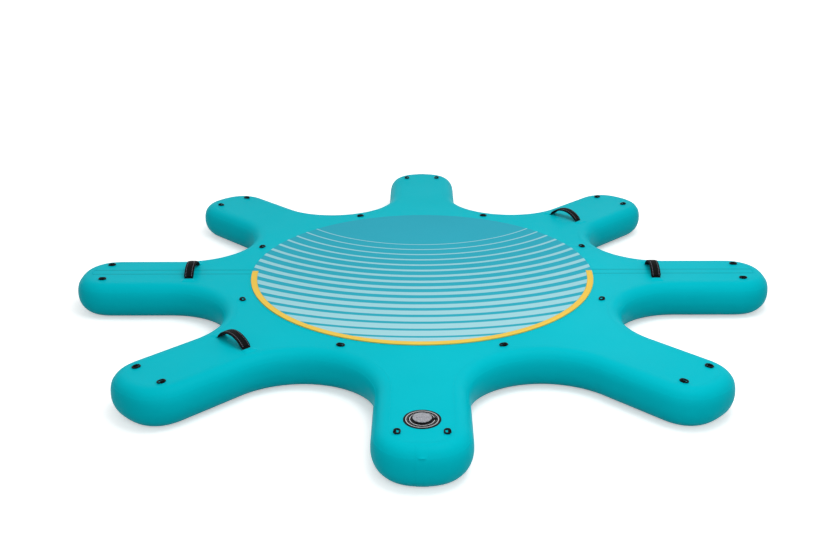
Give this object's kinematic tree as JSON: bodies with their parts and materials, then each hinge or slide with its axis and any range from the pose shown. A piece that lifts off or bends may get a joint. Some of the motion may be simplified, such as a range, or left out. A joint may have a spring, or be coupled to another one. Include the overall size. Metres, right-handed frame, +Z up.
{
  "type": "inflatable dock platform",
  "caption": "Star-shaped inflatable dock platform with blunt rounded arms, a foam deck pad, hinged D-rings, webbing carry handles and a push valve with a tethered cap.",
  "frame": {"origin": "centre of the underside, on the plane it lies on", "axes": "+Z up out of the deck, -Y along the arm that carries the valve, +X along the arm to its right"},
  "size_m": [2.9, 2.903, 0.2026],
  "materials": {
    "hull": "PVC-coated drop-stitch fabric, satin, bright blue-green",
    "deck": "PVC-coated outer fabric, satin, bright blue-green",
    "band": "PVC-coated strip, satin, deeper blue-green",
    "pad": "brushed EVA foam, blue-green with pale ripples",
    "border": "EVA foam, warm yellow",
    "ring": "black coated steel",
    "webbing": "black woven polyester webbing",
    "grip": "black neoprene sleeve",
    "surround": "black disc with pale grey rings",
    "valve": "black glass-filled nylon",
    "seal": "black rubber",
    "spring": "stainless spring wire",
    "cap": "grey nylon, faintly mottled"
  },
  "bodies": {
    "platform": {"drop_stitch_panel_front": "hull", "drop_stitch_panel_rear": "hull", "deck_skin_front": "deck", "deck_skin_rear": "deck", "side_band_right": "band", "side_band_left": "band", "band_joint_strip_front": "band", "band_joint_strip_rear": "band", "seam_tape_top": "band", "seam_tape_bottom": "band", "deck_pad": "pad", "border_strip": "border", "handle_strap_arm3": "webbing", "handle_grip_arm3": "grip", "handle_strap_arm4": "webbing", "handle_grip_arm4": "grip", "handle_strap_arm7": "webbing", "handle_grip_arm7": "grip", "handle_strap_arm8": "webbing", "handle_grip_arm8": "grip", "valve_surround": "surround", "valve_nut": "valve", "valve_body": "valve", "plunger_spring": "spring", "tether_root": "seal"},
    "d_ring_arm1_left": {"d_ring_arm1_left": "ring"},
    "d_ring_arm1_right": {"d_ring_arm1_right": "ring"},
    "d_ring_arm2_left": {"d_ring_arm2_left": "ring"},
    "d_ring_arm2_right": {"d_ring_arm2_right": "ring"},
    "d_ring_arm3_left": {"d_ring_arm3_left": "ring"},
    "d_ring_arm3_right": {"d_ring_arm3_right": "ring"},
    "d_ring_arm4_left": {"d_ring_arm4_left": "ring"},
    "d_ring_arm4_right": {"d_ring_arm4_right": "ring"},
    "d_ring_arm5_left": {"d_ring_arm5_left": "ring"},
    "d_ring_arm5_right": {"d_ring_arm5_right": "ring"},
    "d_ring_arm6_left": {"d_ring_arm6_left": "ring"},
    "d_ring_arm6_right": {"d_ring_arm6_right": "ring"},
    "d_ring_arm7_left": {"d_ring_arm7_left": "ring"},
    "d_ring_arm7_right": {"d_ring_arm7_right": "ring"},
    "d_ring_arm8_left": {"d_ring_arm8_left": "ring"},
    "d_ring_arm8_right": {"d_ring_arm8_right": "ring"},
    "d_ring_bay1": {"d_ring_bay1": "ring"},
    "d_ring_bay2": {"d_ring_bay2": "ring"},
    "d_ring_bay3": {"d_ring_bay3": "ring"},
    "d_ring_bay4": {"d_ring_bay4": "ring"},
    "d_ring_bay5": {"d_ring_bay5": "ring"},
    "d_ring_bay6": {"d_ring_bay6": "ring"},
    "d_ring_bay7": {"d_ring_bay7": "ring"},
    "d_ring_bay8": {"d_ring_bay8": "ring"},
    "cap_tether": {"tether_ring": "seal"},
    "cap": {"valve_cap": "cap", "cap_seal": "seal"},
    "washer": {"spring_washer": "valve"},
    "plunger": {"valve_plunger": "valve", "poppet_seal": "seal"}
  },
  "joints": [
    {"name": "d_ring_arm1_left_hinge", "type": "hinge", "parent": "platform", "child": "d_ring_arm1_left", "pos_m": [0.0855, -1.329, 0.15395], "axis": [0, 1, 0], "range_deg": [0, 170]},
    {"name": "d_ring_arm1_right_hinge", "type": "hinge", "parent": "platform", "child": "d_ring_arm1_right", "pos_m": [-0.0855, -1.329, 0.15395], "axis": [0, -1, 0], "range_deg": [0, 170]},
    {"name": "d_ring_arm2_left_hinge", "type": "hinge", "parent": "platform", "child": "d_ring_arm2_left", "pos_m": [1.0002, -0.87929, 0.15395], "axis": [-0.7071, 0.7071, 0], "range_deg": [0, 170]},
    {"name": "d_ring_arm2_right_hinge", "type": "hinge", "parent": "platform", "child": "d_ring_arm2_right", "pos_m": [0.87929, -1.0002, 0.15395], "axis": [0.7071, -0.7071, 0], "range_deg": [0, 170]},
    {"name": "d_ring_arm3_left_hinge", "type": "hinge", "parent": "platform", "child": "d_ring_arm3_left", "pos_m": [1.329, 0.0855, 0.15395], "axis": [-1, 0, 0], "range_deg": [0, 170]},
    {"name": "d_ring_arm3_right_hinge", "type": "hinge", "parent": "platform", "child": "d_ring_arm3_right", "pos_m": [1.329, -0.0855, 0.15395], "axis": [1, 0, 0], "range_deg": [0, 170]},
    {"name": "d_ring_arm4_left_hinge", "type": "hinge", "parent": "platform", "child": "d_ring_arm4_left", "pos_m": [0.87929, 1.0002, 0.15395], "axis": [-0.7071, -0.7071, 0], "range_deg": [0, 170]},
    {"name": "d_ring_arm4_right_hinge", "type": "hinge", "parent": "platform", "child": "d_ring_arm4_right", "pos_m": [1.0002, 0.87929, 0.15395], "axis": [0.7071, 0.7071, 0], "range_deg": [0, 170]},
    {"name": "d_ring_arm5_left_hinge", "type": "hinge", "parent": "platform", "child": "d_ring_arm5_left", "pos_m": [-0.0855, 1.329, 0.15395], "axis": [0, -1, 0], "range_deg": [0, 170]},
    {"name": "d_ring_arm5_right_hinge", "type": "hinge", "parent": "platform", "child": "d_ring_arm5_right", "pos_m": [0.0855, 1.329, 0.15395], "axis": [0, 1, 0], "range_deg": [0, 170]},
    {"name": "d_ring_arm6_left_hinge", "type": "hinge", "parent": "platform", "child": "d_ring_arm6_left", "pos_m": [-1.0002, 0.87929, 0.15395], "axis": [0.7071, -0.7071, 0], "range_deg": [0, 170]},
    {"name": "d_ring_arm6_right_hinge", "type": "hinge", "parent": "platform", "child": "d_ring_arm6_right", "pos_m": [-0.87929, 1.0002, 0.15395], "axis": [-0.7071, 0.7071, 0], "range_deg": [0, 170]},
    {"name": "d_ring_arm7_left_hinge", "type": "hinge", "parent": "platform", "child": "d_ring_arm7_left", "pos_m": [-1.329, -0.0855, 0.15395], "axis": [1, 0, 0], "range_deg": [0, 170]},
    {"name": "d_ring_arm7_right_hinge", "type": "hinge", "parent": "platform", "child": "d_ring_arm7_right", "pos_m": [-1.329, 0.0855, 0.15395], "axis": [-1, 0, 0], "range_deg": [0, 170]},
    {"name": "d_ring_arm8_left_hinge", "type": "hinge", "parent": "platform", "child": "d_ring_arm8_left", "pos_m": [-0.87929, -1.0002, 0.15395], "axis": [0.7071, 0.7071, 0], "range_deg": [0, 170]},
    {"name": "d_ring_arm8_right_hinge", "type": "hinge", "parent": "platform", "child": "d_ring_arm8_right", "pos_m": [-1.0002, -0.87929, 0.15395], "axis": [-0.7071, -0.7071, 0], "range_deg": [0, 170]},
    {"name": "d_ring_bay1_hinge", "type": "hinge", "parent": "platform", "child": "d_ring_bay1", "pos_m": [0.29773, -0.71878, 0.15395], "axis": [0.9239, 0.3827, 0], "range_deg": [0, 170]},
    {"name": "d_ring_bay2_hinge", "type": "hinge", "parent": "platform", "child": "d_ring_bay2", "pos_m": [0.71878, -0.29773, 0.15395], "axis": [0.3827, 0.9239, 0], "range_deg": [0, 170]},
    {"name": "d_ring_bay3_hinge", "type": "hinge", "parent": "platform", "child": "d_ring_bay3", "pos_m": [0.71878, 0.29773, 0.15395], "axis": [-0.3827, 0.9239, 0], "range_deg": [0, 170]},
    {"name": "d_ring_bay4_hinge", "type": "hinge", "parent": "platform", "child": "d_ring_bay4", "pos_m": [0.29773, 0.71878, 0.15395], "axis": [-0.9239, 0.3827, 0], "range_deg": [0, 170]},
    {"name": "d_ring_bay5_hinge", "type": "hinge", "parent": "platform", "child": "d_ring_bay5", "pos_m": [-0.29773, 0.71878, 0.15395], "axis": [-0.9239, -0.3827, 0], "range_deg": [0, 170]},
    {"name": "d_ring_bay6_hinge", "type": "hinge", "parent": "platform", "child": "d_ring_bay6", "pos_m": [-0.71878, 0.29773, 0.15395], "axis": [-0.3827, -0.9239, 0], "range_deg": [0, 170]},
    {"name": "d_ring_bay7_hinge", "type": "hinge", "parent": "platform", "child": "d_ring_bay7", "pos_m": [-0.71878, -0.29773, 0.15395], "axis": [0.3827, -0.9239, 0], "range_deg": [0, 170]},
    {"name": "d_ring_bay8_hinge", "type": "hinge", "parent": "platform", "child": "d_ring_bay8", "pos_m": [-0.29773, -0.71878, 0.15395], "axis": [0.9239, -0.3827, 0], "range_deg": [0, 170]},
    {"name": "tether_hinge", "type": "hinge", "parent": "platform", "child": "cap_tether", "pos_m": [0.0356, -1.25, 0.1551], "axis": [0, 1, 0], "range_deg": [0, 110]},
    {"name": "cap_turn", "type": "hinge", "parent": "cap_tether", "child": "cap", "pos_m": [0, -1.25, 0.1551], "axis": [0, 0, 1], "range_deg": [0, 90]},
    {"name": "plunger_push", "type": "slide", "parent": "platform", "child": "washer", "axis": [0, 0, 1], "range_m": [-0.005, 0], "stiffness_N_per_m": 300, "springref_m": 0.003, "deforming": ["plunger_spring"]},
    {"name": "plunger_turn", "type": "hinge", "parent": "washer", "child": "plunger", "pos_m": [0, -1.25, 0.13], "axis": [0, 0, 1], "range_deg": [0, 90]}
  ]
}
